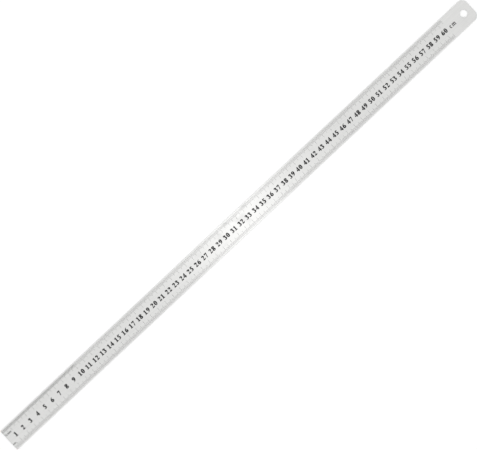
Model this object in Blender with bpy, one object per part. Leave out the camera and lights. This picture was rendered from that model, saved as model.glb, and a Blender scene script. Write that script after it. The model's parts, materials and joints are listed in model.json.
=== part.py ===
"""Steel ruler: one strip of stainless spring steel with an etched centimetre scale.

Metres, +Z up. The blade lies flat on its back face, with the origin under its middle.
+X runs from the zero end of the scale to the hanging hole, +Y to the upper graduated edge.
"""

import math

import bmesh
import bpy

# Blade
BLADE_LENGTH = 0.637
BLADE_WIDTH = 0.025
BLADE_THICKNESS = 0.001
FAR_CORNER_RADIUS = 0.006
EDGE_BREAK = 0.00012

# Hanging hole, on the centre line near the far end
HOLE_DIAMETER = 0.008
HOLE_FROM_FAR_END = 0.0098

# Etched scale, counted from the zero end. A mark runs from MARK_SET_IN to its reach, both
# measured inwards from the long edge.
NUMBERED_CENTIMETRES = 60
SCALE_OVERRUN = 0.005
MARK_WIDTH = 0.0002
MARK_DEPTH = 0.00005
MARK_SET_IN = 0.001
CENTIMETRE_MARK_REACH = 0.0073
HALF_MARK_REACH = 0.0057

# Facets
CORNER_STEPS = 12
HOLE_SIDES = 48

CUTTER_OVERRUN = 0.001
CENTIMETRE = 0.010
ZERO_END_X = -BLADE_LENGTH / 2
FAR_END_X = BLADE_LENGTH / 2


def clear_scene():
    for obj in list(bpy.data.objects):
        bpy.data.objects.remove(obj, do_unlink=True)


def stainless_steel():
    """Satin-brushed stainless steel."""
    material = bpy.data.materials.new("stainless_steel")
    material.use_nodes = True
    shader = material.node_tree.nodes["Principled BSDF"]
    shader.inputs["Base Color"].default_value = (0.70, 0.70, 0.70, 1.0)
    shader.inputs["Metallic"].default_value = 1.0
    shader.inputs["Roughness"].default_value = 0.38
    return material


def link_object(name, bm):
    """Writes the bmesh to a new object of that name and links it to the scene."""
    bmesh.ops.recalc_face_normals(bm, faces=bm.faces)
    mesh = bpy.data.meshes.new(name)
    bm.to_mesh(mesh)
    bm.free()
    obj = bpy.data.objects.new(name, mesh)
    bpy.context.scene.collection.objects.link(obj)
    return obj


def link_cutter(name, bm):
    """A helper that only cuts: it shows as wire and isn't rendered."""
    cutter = link_object(name, bm)
    cutter.display_type = "WIRE"
    cutter.hide_render = True
    return cutter


def far_corner(side):
    """Points of one rounded far corner, from the far end's flat (side +1 is +Y) to the long edge."""
    centre_x = FAR_END_X - FAR_CORNER_RADIUS
    centre_y = side * (BLADE_WIDTH / 2 - FAR_CORNER_RADIUS)
    points = []
    for step in range(CORNER_STEPS + 1):
        angle = side * math.radians(90) * step / CORNER_STEPS
        x = centre_x + FAR_CORNER_RADIUS * math.cos(angle)
        y = centre_y + FAR_CORNER_RADIUS * math.sin(angle)
        points.append((x, y))
    return points


def blade_outline():
    """Square at the zero end, with rounded corners at the far end."""
    zero_corners = [(ZERO_END_X, BLADE_WIDTH / 2), (ZERO_END_X, -BLADE_WIDTH / 2)]
    return far_corner(+1) + zero_corners + far_corner(-1)[::-1]


def blade_strip():
    bm = bmesh.new()
    verts = [bm.verts.new((x, y, 0.0)) for x, y in blade_outline()]
    back = bm.faces.new(verts)
    grown = bmesh.ops.extrude_face_region(bm, geom=[back])
    front = [item for item in grown["geom"] if isinstance(item, bmesh.types.BMVert)]
    bmesh.ops.translate(bm, verts=front, vec=(0.0, 0.0, BLADE_THICKNESS))
    return link_object("blade", bm)


def hole_cutter():
    bm = bmesh.new()
    bmesh.ops.create_cone(
        bm,
        cap_ends=True,
        segments=HOLE_SIDES,
        radius1=HOLE_DIAMETER / 2,
        radius2=HOLE_DIAMETER / 2,
        depth=BLADE_THICKNESS + 2 * CUTTER_OVERRUN,
    )
    centre = (FAR_END_X - HOLE_FROM_FAR_END, 0.0, BLADE_THICKNESS / 2)
    bmesh.ops.translate(bm, verts=bm.verts, vec=centre)
    return link_cutter("hanging_hole_cutter", bm)


def add_mark(bm, distance, reach, side):
    """One mark's cutter, square to the long edge on that side, at a distance from the zero end."""
    outer = BLADE_WIDTH / 2 - MARK_SET_IN
    inner = BLADE_WIDTH / 2 - reach
    bottom = BLADE_THICKNESS - MARK_DEPTH
    top = BLADE_THICKNESS + CUTTER_OVERRUN
    made = bmesh.ops.create_cube(bm, size=1.0)["verts"]
    bmesh.ops.scale(bm, verts=made, vec=(MARK_WIDTH, outer - inner, top - bottom))
    middle = (ZERO_END_X + distance, side * (outer + inner) / 2, (top + bottom) / 2)
    bmesh.ops.translate(bm, verts=made, vec=middle)


def marks_cutter():
    """Centimetre and half-centimetre marks along both edges of the front face."""
    bm = bmesh.new()
    scale_length = NUMBERED_CENTIMETRES * CENTIMETRE + SCALE_OVERRUN
    half_steps = round(scale_length / (CENTIMETRE / 2))
    for step in range(1, half_steps + 1):
        whole = step % 2 == 0
        reach = CENTIMETRE_MARK_REACH if whole else HALF_MARK_REACH
        for side in (+1, -1):
            add_mark(bm, step * CENTIMETRE / 2, reach, side)
    return link_cutter("scale_marks_cutter", bm)


def cut(obj, cutter):
    boolean = obj.modifiers.new(cutter.name, "BOOLEAN")
    boolean.operation = "DIFFERENCE"
    boolean.object = cutter


def break_edges(obj):
    """The fine chamfer that takes the burr off every sharp edge."""
    bevel = obj.modifiers.new("edge_break", "BEVEL")
    bevel.width = EDGE_BREAK
    bevel.segments = 1
    bevel.limit_method = "ANGLE"
    bevel.angle_limit = math.radians(60)


def build_blade():
    blade = blade_strip()
    blade.data.materials.append(stainless_steel())
    cut(blade, hole_cutter())
    break_edges(blade)
    cut(blade, marks_cutter())
    return blade


clear_scene()
build_blade()
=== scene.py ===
"""Steel ruler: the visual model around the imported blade, in metres, in the row's frame.

+X runs along the blade from the zero end of its scale, +Y across it to the edge that the tops of
the numbers point to, and +Z out of the graduated face. The blade lies on its back at z = 0.
"""

import json
import math

import bmesh
import bpy
import numpy as np
from mathutils import Euler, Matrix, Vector
from mathutils.geometry import delaunay_2d_cdt

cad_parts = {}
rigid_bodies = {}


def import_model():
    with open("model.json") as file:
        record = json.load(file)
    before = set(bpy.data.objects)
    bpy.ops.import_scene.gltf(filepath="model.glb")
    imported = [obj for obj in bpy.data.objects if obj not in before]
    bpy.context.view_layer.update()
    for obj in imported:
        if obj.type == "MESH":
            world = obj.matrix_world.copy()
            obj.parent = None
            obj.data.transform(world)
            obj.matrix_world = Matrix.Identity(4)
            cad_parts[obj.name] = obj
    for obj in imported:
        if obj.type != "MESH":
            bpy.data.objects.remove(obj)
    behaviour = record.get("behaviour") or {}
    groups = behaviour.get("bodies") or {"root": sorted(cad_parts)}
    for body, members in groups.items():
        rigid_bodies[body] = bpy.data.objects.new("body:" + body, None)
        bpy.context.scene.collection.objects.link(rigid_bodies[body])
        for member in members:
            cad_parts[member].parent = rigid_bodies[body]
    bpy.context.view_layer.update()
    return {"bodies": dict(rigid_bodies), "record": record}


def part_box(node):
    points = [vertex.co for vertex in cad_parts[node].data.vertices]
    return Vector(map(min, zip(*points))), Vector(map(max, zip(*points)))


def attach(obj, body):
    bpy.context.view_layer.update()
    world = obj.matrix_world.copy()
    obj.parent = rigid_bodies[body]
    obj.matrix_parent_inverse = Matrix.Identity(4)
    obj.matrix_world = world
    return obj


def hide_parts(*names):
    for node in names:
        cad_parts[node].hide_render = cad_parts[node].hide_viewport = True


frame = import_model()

MM = 0.001
CM = 10 * MM
BODY = next(iter(frame["bodies"]))

# The blank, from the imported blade
BLADE_LOW, BLADE_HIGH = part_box("blade")
ZERO_X = BLADE_LOW.x
FAR_X = BLADE_HIGH.x
HALF_WIDTH = BLADE_HIGH.y
TOP = BLADE_HIGH.z
FAR_CORNER_RADIUS = 6.0 * MM
ZERO_CORNER_RADIUS = 0.35 * MM
EDGE_ROUND = 0.14 * MM
EDGE_STEPS = 3
FAR_CORNER_STEPS = 24
ZERO_CORNER_STEPS = 4
HOLE_RADIUS = 4.0 * MM
HOLE_STEPS = 96

# The scale: distances are from the zero end. A mark runs from MARK_SET_IN to its reach, both
# measured inwards from the long edge.
NUMBERED_CM = 60
SCALE_OVERRUN = 5 * MM
FINE_SCALE_END = 100 * MM
MARK_WIDTH = 0.17 * MM
MARK_SET_IN = 1.0 * MM
HALF_MM_REACH = 3.25 * MM
MM_REACH = 4.0 * MM
HALF_CM_REACH = 5.7 * MM
CM_REACH = 7.3 * MM
ETCH_DEPTH = 0.05 * MM
ENAMEL_SINK = 0.006 * MM
ENAMEL_SAG = 0.0036 * MM

# How many of each division make a centimetre, and how far in its marks reach, finest first
DIVISIONS = {
    "Half millimetre": (20, HALF_MM_REACH),
    "Millimetre": (10, MM_REACH),
    "Half centimetre": (2, HALF_CM_REACH),
    "Centimetre": (1, CM_REACH),
}

# The numbers stand across the middle of the blade, a little off their marks
NUMBER_HEIGHT = 5.0 * MM
NUMBER_BASE_Y = -2.5 * MM
SINGLE_SHIFT = -0.22 * MM
PAIR_SHIFT = 0.20 * MM
DIGIT_ADVANCE = 0.765
SIDE_GAP = 0.08

# The letters after the last number, and the legends that name each edge's smallest division
UNIT_X = 607.6 * MM
UNIT_BASE_Y = -2.35 * MM
UNIT_HEIGHT = 3.2 * MM
LEGEND_X = 0.6 * MM
FINE_LEGEND_BASE_Y = 4.5 * MM
FINE_LEGEND_HEIGHT = 1.65 * MM
FRACTION_HEIGHT = 1.45 * MM
AFTER_FRACTION = 3.0 * MM
COARSE_LEGEND_BASE_Y = -7.0 * MM
COARSE_LEGEND_HEIGHT = 1.3 * MM

# Pens: half the width of an upright stroke and half the height of a level one, as shares of height
BOLD_NIB = (0.148, 0.065)
BOOK_NIB = (0.13, 0.075)
CURVE_STEPS = 6
BOWL_STEPS = 32
SHORTEST_STEP = 0.008

# A half, written with a slash between its figures, as shares of their height
SLASH_LEAN = 0.73
SLASH_HEIGHT = 1.78
SLASH_AT = 0.42
UPPER_FIGURE_LIFT = 0.78
LOWER_FIGURE_AT = 0.88


# ---------------------------------------------------------------- outlines of figures and letters


def smooth_path(knots):
    """Catmull-Rom curve through the knots."""
    knots = np.array(knots, float)
    padded = np.vstack([2 * knots[0] - knots[1], knots, 2 * knots[-1] - knots[-2]])
    path = []
    for a, b, c, d in zip(padded, padded[1:], padded[2:], padded[3:]):
        for t in np.arange(CURVE_STEPS) / CURVE_STEPS:
            bend = (2 * a - 5 * b + 4 * c - d) * t**2 + (3 * b - a - 3 * c + d) * t**3
            path.append(b + ((c - a) * t + bend) / 2)
    path.append(knots[-1])
    return np.array(path)


def stroke(nib, *knots):
    """A pen stroke through knots (x, y, weight), as parts that overlap where it bends tightly.

    The nib is a level ellipse, scaled by the weight.
    """
    path = smooth_path(knots)
    middle, weight = path[:, :2], path[:, 2:]
    along = np.gradient(middle, axis=0)
    across = np.stack([-along[:, 1], along[:, 0]], axis=1) * np.array(nib)
    reach = across * np.array(nib) / np.linalg.norm(across, axis=1, keepdims=True) * weight
    left, right = middle + reach, middle - reach
    parts = []
    for i in range(len(path) - 1):
        parts.append([np.array([left[i], right[i], left[i + 1]])])
        parts.append([np.array([right[i], right[i + 1], left[i + 1]])])
    return parts


def ellipse(centre, radii, steps=BOWL_STEPS):
    turn = np.arange(steps) * 2 * math.pi / steps
    rim = np.stack([np.cos(turn), np.sin(turn)], axis=1)
    return np.array(centre) + rim * np.array(radii)


def bowl(nib, centre, radii):
    """A closed round stroke: its outer line and its counter."""
    return [ellipse(centre, np.add(radii, nib)), ellipse(centre, np.subtract(radii, nib))]


def dot(centre, radius):
    return [ellipse(centre, (radius, radius), BOWL_STEPS // 2)]


def slab(*corners):
    return [np.array(corners, float)]


def figure_0(nib):
    return [bowl(nib, (0.33, 0.50), (0.19, 0.44))]


def figure_1(nib):
    return [
        slab((0.19, 0.03), (0.46, 0.03), (0.46, 1.0), (0.38, 1.0), (0.19, 0.88)),
        slab((0.03, 0.84), (0.05, 0.74), (0.20, 0.78), (0.40, 1.0), (0.38, 1.0)),
        slab((0.04, 0.0), (0.61, 0.0), (0.61, 0.09), (0.46, 0.16), (0.19, 0.16), (0.04, 0.09)),
    ]


def figure_2(nib):
    hook = [(0.12, 0.74, 0.5), (0.17, 0.88, 0.8), (0.30, 0.92, 1.1), (0.42, 0.84, 1.1)]
    fall = [(0.445, 0.69, 1.05), (0.37, 0.50, 0.6), (0.27, 0.35, 0.4), (0.19, 0.20, 0.3)]
    base = [(0.03, 0.0), (0.56, 0.0), (0.66, 0.33), (0.61, 0.33), (0.54, 0.24), (0.42, 0.23)]
    foot = slab(*base, (0.16, 0.23), (0.03, 0.06))
    return stroke(nib, *hook, *fall) + [foot, dot((0.13, 0.76), 0.095)]


def figure_3(nib):
    upper = [(0.11, 0.77, 0.5), (0.18, 0.88, 0.8), (0.29, 0.925, 1.05), (0.40, 0.84, 1.15)]
    waist = [(0.425, 0.72, 1.1), (0.34, 0.60, 0.9), (0.20, 0.535, 0.5)]
    lower = [(0.20, 0.56, 0.5), (0.34, 0.53, 0.9), (0.45, 0.42, 1.0), (0.475, 0.28, 1.0)]
    tail = [(0.40, 0.12, 1.0), (0.26, 0.06, 0.9), (0.11, 0.08, 0.9)]
    ball_ends = [dot((0.105, 0.14), 0.095), dot((0.12, 0.78), 0.09)]
    return stroke(nib, *upper, *waist) + stroke(nib, *lower, *tail) + ball_ends


def figure_4(nib):
    return [
        slab((0.32, 0.0), (0.57, 0.0), (0.57, 1.0), (0.47, 1.0), (0.32, 0.80)),
        slab((0.01, 0.20), (0.67, 0.20), (0.67, 0.39), (0.01, 0.39)),
        slab((0.01, 0.36), (0.13, 0.36), (0.47, 0.80), (0.47, 1.0), (0.43, 1.0)),
    ]


def figure_5(nib):
    shoulder = [(0.16, 0.63, 1.1), (0.29, 0.60, 1.2), (0.42, 0.50, 1.15), (0.475, 0.34, 1.0)]
    tail = [(0.43, 0.17, 0.95), (0.29, 0.065, 0.9), (0.12, 0.07, 0.9)]
    flag = slab((0.15, 1.0), (0.18, 0.77), (0.56, 0.77), (0.64, 1.0))
    neck = slab((0.145, 0.99), (0.07, 0.54), (0.17, 0.54), (0.30, 0.79), (0.33, 0.95))
    return [flag, neck, dot((0.115, 0.13), 0.095)] + stroke(nib, *shoulder, *tail)


def figure_6(nib):
    rise = [(0.15, 0.33, 0.8), (0.18, 0.56, 0.8), (0.30, 0.77, 0.85), (0.44, 0.89, 0.7)]
    return [bowl(nib, (0.34, 0.32), (0.185, 0.26))] + stroke(nib, *rise, (0.60, 0.955, 0.5))


def figure_7(nib):
    return [
        slab((0.05, 1.0), (0.02, 0.66), (0.07, 0.66), (0.14, 0.75), (0.56, 0.75), (0.655, 1.0)),
        slab((0.44, 0.78), (0.62, 0.92), (0.36, 0.0), (0.17, 0.0)),
    ]


def figure_8(nib):
    waist = [(0.10, 0.66), (0.30, 0.47), (0.46, 0.34), (0.57, 0.40), (0.44, 0.57), (0.22, 0.74)]
    return [
        bowl(nib, (0.33, 0.75), (0.175, 0.19)),
        bowl(nib, (0.33, 0.275), (0.185, 0.215)),
        slab(*waist),
    ]


def figure_9(nib):
    """A 6 turned half round."""
    return [[np.array((0.67, 1.0)) - loop for loop in part] for part in figure_6(nib)]


def letter_c(nib):
    back = [(0.50, 0.76, 0.7), (0.43, 0.90, 1.0), (0.30, 0.94, 1.0), (0.16, 0.80, 1.0)]
    front = [(0.12, 0.50, 1.1), (0.17, 0.19, 1.0), (0.32, 0.06, 1.0), (0.45, 0.11, 0.9)]
    return stroke(nib, *back, *front, (0.53, 0.25, 0.5)) + [dot((0.455, 0.76), 0.10)]


def letter_m(nib):
    """Three stems on slab feet, joined by two arches."""
    half = nib[0]
    parts = []
    for x in (0.16, 0.66, 1.16):
        parts.append(slab((x - half, 0.0), (x + half, 0.0), (x + half, 0.82), (x - half, 0.82)))
        parts.append(slab((x - 0.17, 0.0), (x + 0.17, 0.0), (x + 0.17, 0.10), (x - 0.17, 0.10)))
    for x in (0.16, 0.66):
        arch = [(x, 0.70, 0.6), (x + 0.15, 0.86, 1.0), (x + 0.31, 0.92, 1.1), (x + 0.44, 0.86, 1.1)]
        parts += stroke(nib, *arch, (x + 0.50, 0.70, 1.0))
    parts.append(slab((0.0, 0.93), (0.16 - half, 0.80), (0.16 + half, 0.76), (0.16 + half, 1.0)))
    return parts


def fraction_slash(nib):
    width = 2 * nib[1]
    top = (SLASH_LEAN + width, SLASH_HEIGHT), (SLASH_LEAN, SLASH_HEIGHT)
    return [slab((0.0, 0.0), (width, 0.0), *top)]


LOW_FIGURES = [figure_0, figure_1, figure_2, figure_3, figure_4]
HIGH_FIGURES = [figure_5, figure_6, figure_7, figure_8, figure_9]
SIGNS = {str(value): (shape, DIGIT_ADVANCE) for value, shape in enumerate(LOW_FIGURES + HIGH_FIGURES)}
SIGNS["c"] = (letter_c, 0.64)
SIGNS["m"] = (letter_m, 1.42)
SIGNS["/"] = (fraction_slash, SLASH_LEAN)
SIGNS[" "] = (None, 0.31)


def boundary_loops(triangles):
    """Closed loops of vertex numbers round a set of triangles, with the triangles on their left."""
    edges = {(t[i], t[(i + 1) % 3]) for t in triangles for i in range(3)}
    onward = {}
    for a, b in edges:
        if (b, a) not in edges:
            onward.setdefault(a, []).append(b)
    loops = []
    while onward:
        loop = [next(iter(onward))]
        while loop[-1] in onward:
            choices = onward[loop[-1]]
            loop.append(choices.pop())
            if not choices:
                del onward[loop[-2]]
        loops.append(loop[:-1])
    return loops


def triangulate(loops, unit, tolerance):
    """(points, triangles, each triangle's loops, each loop's points in the result), in that unit."""
    points, faces = [], []
    for loop in loops:
        outline = np.array(loop, float) / unit
        turned = np.roll(outline, -1, axis=0)
        area = np.sum(outline[:, 0] * turned[:, 1] - outline[:, 1] * turned[:, 0])
        order = list(range(len(points), len(points) + len(outline)))
        faces.append(order if area > 0 else order[::-1])
        points.extend(Vector(point) for point in outline)
    found = delaunay_2d_cdt(points, [], faces, 1, tolerance, True)
    made = [(v.x * unit, v.y * unit) for v in found[0]]
    place = {source: number for number, sources in enumerate(found[3]) for source in sources}
    rims = [[place[i] for i in sorted(face)] for face in faces]
    return made, [tuple(triangle) for triangle in found[2]], found[5], rims


def without_short_steps(outline):
    """The outline with points that nearly coincide merged, or None where nothing is left."""
    kept = []
    for point in outline:
        if not kept or math.dist(point, kept[-1]) > SHORTEST_STEP:
            kept.append(point)
    if math.dist(kept[0], kept[-1]) <= SHORTEST_STEP:
        kept.pop()
    return kept if len(kept) > 2 else None


def merged_sign(parts):
    """(points, triangles, loops) of the area that any part covers. A part's inner loop is its counter."""
    loops = [(number, loop) for number, part in enumerate(parts) for loop in part]
    points, triangles, origins, _ = triangulate([loop for _, loop in loops], 1.0, 1e-5)
    inked = []
    for triangle, covers in zip(triangles, origins):
        owners = [loops[cover][0] for cover in covers]
        if any(owners.count(owner) % 2 for owner in owners):
            inked.append(triangle)
    outlines = [without_short_steps([points[i] for i in loop]) for loop in boundary_loops(inked)]
    points, triangles, origins, _ = triangulate([line for line in outlines if line], 1.0, 1e-5)
    inked = [triangle for triangle, covers in zip(triangles, origins) if len(covers) % 2]
    return points, inked, boundary_loops(inked)


def make_signs(nib):
    """Every sign of one pen, merged once and used many times."""
    return {sign: merged_sign(shape(nib)) for sign, (shape, _) in SIGNS.items() if shape}


class Lettering:
    """Where the signs of one etched piece stand: its points and triangles, and their outlines."""

    def __init__(self, name):
        self.name = name
        self.points = []
        self.triangles = []
        self.loops = []

    def add_sign(self, merged, x, y, height):
        points, triangles, loops = merged
        start = len(self.points)
        self.points.extend((x + px * height, y + py * height) for px, py in points)
        self.triangles.extend(tuple(start + i for i in t) for t in triangles)
        self.loops.extend([self.points[start + i] for i in loop] for loop in loops)

    def add_words(self, words, signs, x, y, height, centred=False):
        """Words from x on, or centred on x, with their feet at y."""
        width = sum(SIGNS[sign][1] for sign in words) - SIDE_GAP
        pen = x - width * height / 2 if centred else x
        for sign in words:
            if sign in signs:
                self.add_sign(signs[sign], pen, y, height)
            pen += SIGNS[sign][1] * height


def numbers(bold):
    made = Lettering("centimetre_numbers")
    for number in range(1, NUMBERED_CM + 1):
        words = str(number)
        shift = SINGLE_SHIFT if len(words) == 1 else PAIR_SHIFT
        middle = ZERO_X + number * CM + shift
        made.add_words(words, bold, middle, NUMBER_BASE_Y, NUMBER_HEIGHT, centred=True)
    return made


def unit_letters(book):
    made = Lettering("centimetre_unit_letters")
    made.add_words("c m", book, ZERO_X + UNIT_X, UNIT_BASE_Y, UNIT_HEIGHT)
    return made


def fine_scale_legend(bold, book):
    """A half, as a fraction, and the millimetre letters."""
    made = Lettering("half_millimetre_legend")
    left = ZERO_X + LEGEND_X
    fraction = [("1", 0.0, UPPER_FIGURE_LIFT), ("/", SLASH_AT, 0.0), ("2", LOWER_FIGURE_AT, 0.0)]
    for sign, along, lift in fraction:
        x, y = left + along * FRACTION_HEIGHT, FINE_LEGEND_BASE_Y + lift * FRACTION_HEIGHT
        made.add_words(sign, bold, x, y, FRACTION_HEIGHT)
    made.add_words("mm", book, left + AFTER_FRACTION, FINE_LEGEND_BASE_Y, FINE_LEGEND_HEIGHT)
    return made


def coarse_scale_legend(book):
    made = Lettering("millimetre_legend")
    made.add_words("mm", book, ZERO_X + LEGEND_X, COARSE_LEGEND_BASE_Y, COARSE_LEGEND_HEIGHT)
    return made


# ---------------------------------------------------------------- graduations


class Scale:
    """A run of marks at one pitch along one edge: side +1 is the upper edge, -1 the lower."""

    def __init__(self, name, side, per_cm, first, last):
        self.name = name
        self.side = side
        self.per_cm = per_cm
        self.first = round(first / CM * per_cm)
        self.last = round(last / CM * per_cm)

    def reach(self, number):
        """A mark reaches as far in as the largest division that it marks."""
        marked = [reach for share, reach in DIVISIONS.values() if number * share % self.per_cm == 0]
        return marked[-1]

    def loops(self):
        """The outline of each mark."""
        outer = self.side * (HALF_WIDTH - MARK_SET_IN)
        found = []
        for number in range(self.first, self.last + 1):
            middle = ZERO_X + number * CM / self.per_cm
            inner = self.side * (HALF_WIDTH - self.reach(number))
            left, right = middle - MARK_WIDTH / 2, middle + MARK_WIDTH / 2
            found.append([(left, inner), (right, inner), (right, outer), (left, outer)])
        return found


def make_scales():
    end = NUMBERED_CM * CM + SCALE_OVERRUN
    return [
        Scale("upper_half_millimetre_marks", +1, 20, 0.5 * MM, FINE_SCALE_END),
        Scale("upper_millimetre_marks", +1, 10, FINE_SCALE_END + MM, end),
        Scale("lower_millimetre_marks", -1, 10, MM, end),
    ]


# ---------------------------------------------------------------- meshes


def object_of(name, verts, faces):
    mesh = bpy.data.meshes.new(name)
    mesh.from_pydata(verts, [], faces)
    mesh.validate()
    piece = bpy.data.objects.new(name, mesh)
    bpy.context.scene.collection.objects.link(piece)
    return piece


def arc(centre, radius, start, steps):
    """Points of a quarter turn, from the start angle in degrees."""
    turns = [math.radians(start + 90 * step / steps) for step in range(steps + 1)]
    return [(centre[0] + radius * math.cos(t), centre[1] + radius * math.sin(t)) for t in turns]


def blade_outline(inset):
    """The blank's outline, moved inwards by inset, anticlockwise from the lower far corner."""
    far, near = FAR_X - FAR_CORNER_RADIUS, ZERO_X + ZERO_CORNER_RADIUS
    wide, narrow = HALF_WIDTH - ZERO_CORNER_RADIUS, HALF_WIDTH - FAR_CORNER_RADIUS
    far_radius, near_radius = FAR_CORNER_RADIUS - inset, ZERO_CORNER_RADIUS - inset
    return (
        arc((far, -narrow), far_radius, -90, FAR_CORNER_STEPS)
        + arc((far, narrow), far_radius, 0, FAR_CORNER_STEPS)
        + arc((near, wide), near_radius, 90, ZERO_CORNER_STEPS)
        + arc((near, -wide), near_radius, 180, ZERO_CORNER_STEPS)
    )


def hole_outline(outset):
    """The hanging hole's outline, grown by outset, clockwise, so that the steel is on its left."""
    low, high = frame["record"]["physics"]["openings"][0]["box_m"]
    centre = ((low[0] + high[0]) / 2, (low[1] + high[1]) / 2)
    radius = HOLE_RADIUS + outset
    return [tuple(point) for point in ellipse(centre, (radius, radius), HOLE_STEPS)[::-1]]


def face_areas(edge, hole, marks):
    """(points, plain triangles, etched triangles, the edge's and the hole's points) of a face."""
    loops = [edge, hole, *marks]
    hole_number = loops.index(hole)
    points, triangles, origins, rims = triangulate(loops, MM, 1e-6)
    plain, etched = [], []
    for triangle, covers in zip(triangles, origins):
        if hole_number not in covers:
            (plain if len(covers) % 2 else etched).append(triangle)
    return points, plain, etched, rims[:2]


def edge_profile():
    """(inset, height) of the rings from the front face's rim round both broken edges to the back."""
    turns = [math.pi / 2 * step / EDGE_STEPS for step in range(EDGE_STEPS + 1)]
    front = [(EDGE_ROUND * (1 - math.sin(t)), TOP - EDGE_ROUND * (1 - math.cos(t))) for t in turns]
    back = [(inset, BLADE_LOW.z + TOP - height) for inset, height in reversed(front)]
    return front[1:] + back


def steel_blade(marks):
    """The blade as one closed shell: etched front, broken edges, hanging hole and plain back."""
    rims = blade_outline(EDGE_ROUND), hole_outline(EDGE_ROUND)
    points, plain, etched, front_rims = face_areas(*rims, marks)
    verts = [(x, y, TOP) for x, y in points]
    floor = {}
    for number in sorted({i for t in etched for i in t}):
        floor[number] = len(verts)
        verts.append((*points[number], TOP - ETCH_DEPTH))
    faces = [*plain, *(tuple(floor[i] for i in t) for t in etched)]
    for loop in boundary_loops(etched):
        for a, b in zip(loop, loop[1:] + loop[:1]):
            faces.append((a, b, floor[b], floor[a]))
    last_rims = []
    for rim, outline in zip(front_rims, (blade_outline, hole_outline)):
        for inset, height in edge_profile():
            start = len(verts)
            verts.extend((x, y, height) for x, y in outline(inset))
            ring = list(range(start, len(verts)))
            for i, a in enumerate(rim):
                after = (i + 1) % len(rim)
                faces.append((rim[after], a, ring[i], ring[after]))
            rim = ring
        last_rims.append(rim)
    _, back_plain, _, back_rims = face_areas(*rims, [])
    match = {}
    for found, made in zip(back_rims, last_rims):
        match.update(zip(found, made))
    faces.extend(tuple(match[i] for i in reversed(t)) for t in back_plain)
    return object_of("steel_blade", verts, faces)


def shade_blade(piece):
    """The broken edges and the hole are smooth; the flat faces keep a sharp rim."""
    piece.data.shade_smooth()
    piece.data.set_sharp_from_angle(angle=math.radians(35))
    flat = [abs(polygon.normal.z) > 0.999 for polygon in piece.data.polygons]
    edge_faces = {}
    for polygon in piece.data.polygons:
        for key in polygon.edge_keys:
            edge_faces.setdefault(key, []).append(flat[polygon.index])
    for edge in piece.data.edges:
        if any(edge_faces[edge.key]):
            edge.use_edge_sharp = True
    return piece


def enamel_signs(lettering):
    """The enamel in a piece's etched signs, each one a closed body up to just under the face."""
    count = len(lettering.points)
    verts = [(x, y, TOP - ENAMEL_SINK) for x, y in lettering.points]
    verts += [(x, y, TOP - ETCH_DEPTH) for x, y in lettering.points]
    faces = list(lettering.triangles)
    faces += [tuple(count + i for i in reversed(t)) for t in lettering.triangles]
    for loop in boundary_loops(lettering.triangles):
        for a, b in zip(loop, loop[1:] + loop[:1]):
            faces.append((a, count + a, count + b, b))
    return object_of(lettering.name, verts, faces)


def mark_fill(material):
    """The enamel of one mark, 1 m long along Y: a bar whose top sags a little between its walls."""
    half = MARK_WIDTH / 2
    top = ETCH_DEPTH - ENAMEL_SINK
    section = [(-half, 0.0), (-half, top), (-half / 2, top - ENAMEL_SAG)]
    section += [(-x, z) for x, z in reversed(section)]
    verts = [(x, y, z) for y in (-0.5, 0.5) for x, z in section]
    count = len(section)
    faces = [tuple(reversed(range(count))), tuple(range(count, 2 * count))]
    for i in range(count):
        after = (i + 1) % count
        faces.append((i, after, count + after, count + i))
    bar = object_of("mark_fill", verts, faces)
    bar.data.materials.append(material)
    return bar


class Graph:
    """A Geometry Nodes tree being built: one method adds any node."""

    def __init__(self, name):
        self.tree = bpy.data.node_groups.new(name, "GeometryNodeTree")
        self.tree.interface.new_socket("Geometry", in_out="OUTPUT", socket_type="NodeSocketGeometry")
        self.source = self.tree.nodes.new("NodeGroupInput")
        self.keys = {}

    def input(self, name, kind):
        item = self.tree.interface.new_socket(name, in_out="INPUT", socket_type="NodeSocket" + kind)
        self.keys[name] = item.identifier
        return self.source.outputs[name]

    def node(self, kind, settings=None, inputs=None):
        made = self.tree.nodes.new(kind)
        for key, value in (settings or {}).items():
            setattr(made, key, value)
        for key, value in (inputs or {}).items():
            if isinstance(value, bpy.types.NodeSocket):
                self.tree.links.new(value, made.inputs[key])
            else:
                made.inputs[key].default_value = value
        return made.outputs[0]

    def math(self, operation, *values):
        return self.node("ShaderNodeMath", {"operation": operation}, dict(enumerate(values)))

    def choose(self, test, when_false, when_true):
        ends = {"Switch": test, "False": when_false, "True": when_true}
        return self.node("GeometryNodeSwitch", {"input_type": "FLOAT"}, ends)

    def finish(self, geometry):
        end = self.tree.nodes.new("NodeGroupOutput")
        self.tree.links.new(geometry, end.inputs[0])


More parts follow.
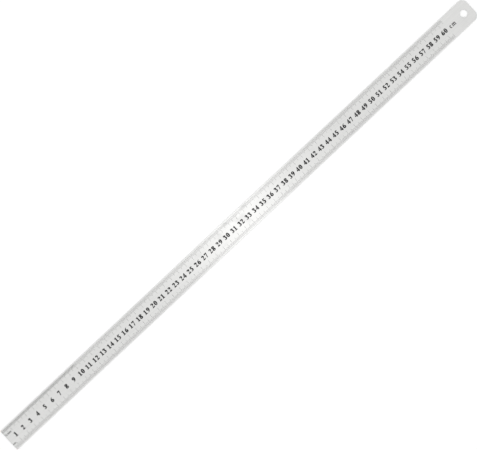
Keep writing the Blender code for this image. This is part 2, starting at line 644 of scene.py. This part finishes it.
def marks_graph():
    """A row of marks at one pitch. Each mark reaches as far in as the largest division that it marks."""
    graph = Graph("row_of_marks")
    count = graph.input("Count", "Int")
    first = graph.input("First", "Float")
    per_cm = graph.input("Marks per centimetre", "Float")
    zero = graph.input("Zero", "Float")
    side = graph.input("Side", "Float")
    edge = graph.input("Edge", "Float")
    set_in = graph.input("Set in", "Float")
    level = graph.input("Level", "Float")
    reaches = [graph.input(name + " reach", "Float") for name in DIVISIONS]
    mark = graph.input("Mark", "Object")
    finish = graph.input("Finish", "Material")
    number = graph.math("ADD", first, graph.node("GeometryNodeInputIndex"))
    reach = reaches[0]
    for (share, _), longer in zip(list(DIVISIONS.values())[1:], reaches[1:]):
        turns = graph.math("DIVIDE", number, graph.math("DIVIDE", per_cm, float(share)))
        off = graph.math("ABSOLUTE", graph.math("SUBTRACT", turns, graph.math("ROUND", turns)))
        on_step = graph.math("LESS_THAN", off, 0.01)
        reach = graph.choose(on_step, reach, longer)
    along = graph.math("MULTIPLY_ADD", graph.math("DIVIDE", number, per_cm), CM, zero)
    length = graph.math("SUBTRACT", reach, set_in)
    inwards = graph.math("MULTIPLY_ADD", length, 0.5, set_in)
    across = graph.math("MULTIPLY", side, graph.math("SUBTRACT", edge, inwards))
    place = graph.node("ShaderNodeCombineXYZ", None, {"X": along, "Y": across, "Z": level})
    points = graph.node("GeometryNodePoints", None, {"Count": count, "Position": place})
    size = graph.node("ShaderNodeCombineXYZ", None, {"X": 1.0, "Y": length, "Z": 1.0})
    shape = graph.tree.nodes.new("GeometryNodeObjectInfo")
    graph.tree.links.new(mark, shape.inputs["Object"])
    row = {"Points": points, "Instance": shape.outputs["Geometry"], "Scale": size}
    marks = graph.node("GeometryNodeInstanceOnPoints", None, row)
    solid = graph.node("GeometryNodeRealizeInstances", None, {"Geometry": marks})
    graph.finish(graph.node("GeometryNodeSetMaterial", None, {"Geometry": solid, "Material": finish}))
    return graph


def enamel_marks(scale, graph, mark, material):
    """The enamel of one run of marks, as a plain mesh."""
    carrier = object_of(scale.name + "_carrier", [], [])
    modifier = carrier.modifiers.new("marks", "NODES")
    modifier.node_group = graph.tree
    values = {
        "Count": scale.last - scale.first + 1,
        "First": float(scale.first),
        "Marks per centimetre": float(scale.per_cm),
        "Zero": ZERO_X,
        "Side": float(scale.side),
        "Edge": HALF_WIDTH,
        "Set in": MARK_SET_IN,
        "Level": TOP - ETCH_DEPTH,
        "Mark": mark,
        "Finish": material,
    }
    for name, (_, reach) in DIVISIONS.items():
        values[name + " reach"] = reach
    for name, value in values.items():
        modifier[graph.keys[name]] = value
    bpy.context.view_layer.update()
    evaluated = carrier.evaluated_get(bpy.context.evaluated_depsgraph_get())
    mesh = bpy.data.meshes.new_from_object(evaluated)
    mesh.name = scale.name
    piece = bpy.data.objects.new(scale.name, mesh)
    bpy.context.scene.collection.objects.link(piece)
    bpy.data.objects.remove(carrier)
    return piece


# ---------------------------------------------------------------- finishes


class Value:
    """A number in a shader's tree. Arithmetic on it adds Math nodes."""

    def __init__(self, shading, socket):
        self.shading = shading
        self.socket = socket

    def math(self, operation, *others):
        return self.shading.node("ShaderNodeMath", {"operation": operation}, dict(enumerate(others)))

    def __add__(self, other):
        return self.math("ADD", self, other)

    __radd__ = __add__

    def __mul__(self, other):
        return self.math("MULTIPLY", self, other)

    __rmul__ = __mul__

    def __sub__(self, other):
        return self.math("SUBTRACT", self, other)

    def __rsub__(self, other):
        return self.math("SUBTRACT", other, self)

    def __abs__(self):
        return self.math("ABSOLUTE", self)

    def between(self, low, high):
        """0 below low, 1 above high, and smooth between."""
        ends = {"Value": self, "From Min": low, "From Max": high}
        return self.shading.node("ShaderNodeMapRange", {"interpolation_type": "SMOOTHSTEP"}, ends)


class Shading:
    """A shader's node tree, and its place coordinates: one method adds any node."""

    def __init__(self, owner, shader, place):
        owner.use_nodes = True
        self.tree = owner.node_tree
        self.shader = self.tree.nodes[shader]
        self.place = self.node("ShaderNodeTexCoord", None, None, place)

    def node(self, kind, settings=None, inputs=None, output=0):
        made = self.tree.nodes.new(kind)
        for key, value in (settings or {}).items():
            setattr(made, key, value)
        for key, value in (inputs or {}).items():
            self.put(made.inputs[key], value)
        return Value(self, made.outputs[output])

    def put(self, socket, value):
        if isinstance(value, Value):
            self.tree.links.new(value.socket, socket)
        else:
            socket.default_value = value

    def axis(self, name):
        return self.node("ShaderNodeSeparateXYZ", None, {"Vector": self.place}, name)

    def set(self, **inputs):
        for name, value in inputs.items():
            self.put(self.shader.inputs[name.replace("_", " ")], value)


class Finish(Shading):
    """A material."""

    def __init__(self, name):
        self.material = bpy.data.materials.new(name)
        super().__init__(self.material, "Principled BSDF", "Object")

    def grain(self, scale, turn=0.0, detail=2.0, shift=0.0):
        """Noise with its own number of waves per metre along X, Y and Z, turned about Z by degrees."""
        turned = {"Vector": self.place, "Rotation": (0.0, 0.0, math.radians(turn))}
        across = self.node("ShaderNodeMapping", None, turned)
        sized = {"Vector": across, "Scale": scale, "Location": (shift, shift, 0.0)}
        where = self.node("ShaderNodeMapping", None, sized)
        return self.node("ShaderNodeTexNoise", None, {"Vector": where, "Scale": 1.0, "Detail": detail})

    def colour(self, factor, low, high):
        ends = {0: factor, 6: (*low, 1.0), 7: (*high, 1.0)}
        return self.node("ShaderNodeMix", {"data_type": "RGBA"}, ends, 2)

    def bump(self, height, depth, strength=1.0):
        """Height is from 0 to 1 and depth is in metres."""
        ends = {"Height": height, "Distance": depth, "Strength": strength}
        self.set(Normal=self.node("ShaderNodeBump", None, ends))


def brushed_stainless():
    """Satin stainless steel: fine grain along the blade, faint handling marks, brighter broken edges."""
    steel = Finish("brushed_stainless")
    fine = steel.grain((60.0, 14000.0, 14000.0))
    coarse = steel.grain((12.0, 2600.0, 2600.0), shift=3.0)
    cloudy = steel.grain((22.0, 60.0, 60.0), shift=11.0)
    smudge = steel.grain((70.0, 110.0, 110.0), turn=25.0, detail=4.0, shift=5.0).between(0.52, 0.72)
    scratch_a = steel.grain((30.0, 3500.0, 3500.0), turn=17.0, shift=7.0).between(0.74, 0.80)
    scratch_b = steel.grain((25.0, 3000.0, 3000.0), turn=-38.0, shift=19.0).between(0.75, 0.81)
    scratches = scratch_a + scratch_b
    hairlines = steel.grain((25.0, 6000.0, 6000.0), shift=23.0).between(0.58, 0.72)
    rubbed = abs(steel.axis("Y")).between(HALF_WIDTH - 0.8 * MM, HALF_WIDTH)
    tone = (fine - 0.5) * 0.70 + (coarse - 0.5) * 0.55 + (cloudy - 0.5) * 0.20 + 0.51
    tone = tone - hairlines * 0.16 - smudge * 0.06 + rubbed * 0.10 + scratches * 0.08
    steel.set(
        Metallic=1.0,
        Base_Color=steel.colour(tone, (0.50, 0.50, 0.495), (0.70, 0.70, 0.69)),
        Roughness=0.30 + (coarse - 0.5) * 0.10 + smudge * 0.05 - rubbed * 0.06 - scratches * 0.05,
    )
    steel.bump(fine * 0.6 + coarse * 0.4 - hairlines * 0.3 - scratches * 0.3, 0.004 * MM, 0.6)
    return steel.material


def black_enamel():
    """Satin black enamel, a little uneven, with tiny worn spots that let the steel through."""
    enamel = Finish("black_enamel")
    mottled = enamel.grain((900.0, 900.0, 900.0), detail=3.0)
    worn = enamel.grain((2600.0, 2600.0, 2600.0), detail=2.0, shift=4.0).between(0.70, 0.78)
    enamel.set(
        Base_Color=enamel.colour(worn * 0.4 + mottled * 0.06, (0.006, 0.006, 0.007), (0.20, 0.20, 0.205)),
        Roughness=0.38 + (mottled - 0.5) * 0.25,
        Specular_IOR_Level=0.18,
    )
    enamel.bump(mottled, 0.003 * MM, 0.4)
    return enamel.material


# ---------------------------------------------------------------- stage, light and camera

BLADE_TURN = math.radians(43.18)
VIEW_CENTRE = Vector((-1.9 * MM, -0.05 * MM, TOP))
VIEW_WIDTH = 479.4 * MM
LENS = 200.0
SENSOR = 36.0
FLOOR_RADIUS = 12.0
FLOOR_GAP = 0.05 * MM

# The sky's strength overhead, its share of that at the horizon, and the sine of the angle where
# the grey band ends
SKY_LIGHT = 1.2
LOW_LIGHT = 0.5
BAND_TOP = 0.75
GLOW_X = 3.0 * MM
GLOW_HEIGHT = 0.5
GLOW_SIZE = 0.085
GLOW_POWER = 0.046


def pale_floor():
    floor = object_of("floor", [], [])
    bm = bmesh.new()
    bmesh.ops.create_circle(bm, cap_ends=True, segments=96, radius=FLOOR_RADIUS)
    bm.to_mesh(floor.data)
    bm.free()
    floor.location.z = -FLOOR_GAP
    paint = Finish("pale_floor")
    paint.set(Base_Color=(0.95, 0.95, 0.95, 1.0), Roughness=0.9)
    floor.data.materials.append(paint.material)


def soft_world():
    """White overhead, with a grey band low down for the steel to reflect. The backdrop stays white."""
    world = bpy.data.worlds.new("studio")
    sky = Shading(world, "Background", "Generated")
    backdrop = sky.node("ShaderNodeLightPath", None, None, "Is Camera Ray")
    overhead = sky.axis("Z").between(0.0, BAND_TOP) * (1.0 - LOW_LIGHT) + LOW_LIGHT
    lit = backdrop + (1.0 - backdrop) * overhead
    sky.set(Color=(1.0, 1.0, 1.0, 1.0), Strength=lit * SKY_LIGHT)
    bpy.context.scene.world = world


def middle_glow():
    """A small square panel straight over the middle of the blade, facing down."""
    data = bpy.data.lights.new("middle_glow", "AREA")
    data.size = GLOW_SIZE
    data.energy = GLOW_POWER
    light = bpy.data.objects.new("middle_glow", data)
    light.location = (GLOW_X, 0.0, GLOW_HEIGHT)
    light.visible_camera = False
    bpy.context.scene.collection.objects.link(light)


def camera():
    data = bpy.data.cameras.new("camera")
    data.lens = LENS
    data.sensor_width = SENSOR
    data.clip_start, data.clip_end = 0.05, 100.0
    eye = bpy.data.objects.new("camera", data)
    distance = VIEW_WIDTH * LENS / SENSOR
    eye.location = VIEW_CENTRE + Vector((0.0, 0.0, distance))
    eye.rotation_euler = Euler((0.0, 0.0, -BLADE_TURN))
    bpy.context.scene.collection.objects.link(eye)
    bpy.context.scene.camera = eye


def studio():
    bpy.context.scene.view_settings.view_transform = "Standard"
    pale_floor()
    soft_world()
    middle_glow()
    camera()


# ---------------------------------------------------------------- assembly


def place_piece(piece, material):
    if not piece.data.materials:
        piece.data.materials.append(material)
    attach(piece, BODY)


def build_ruler():
    steel, enamel = brushed_stainless(), black_enamel()
    bold, book = make_signs(BOLD_NIB), make_signs(BOOK_NIB)
    letterings = [
        numbers(bold),
        unit_letters(book),
        fine_scale_legend(bold, book),
        coarse_scale_legend(book),
    ]
    scales = make_scales()
    outlines = [loop for made in scales for loop in made.loops()]
    outlines += [loop for made in letterings for loop in made.loops]
    blade = shade_blade(steel_blade(outlines))
    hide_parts("blade")
    place_piece(blade, steel)
    for lettering in letterings:
        place_piece(enamel_signs(lettering), enamel)
    graph, mark = marks_graph(), mark_fill(enamel)
    for scale in scales:
        place_piece(enamel_marks(scale, graph, mark, enamel), enamel)
    bpy.data.objects.remove(mark)


build_ruler()
studio()
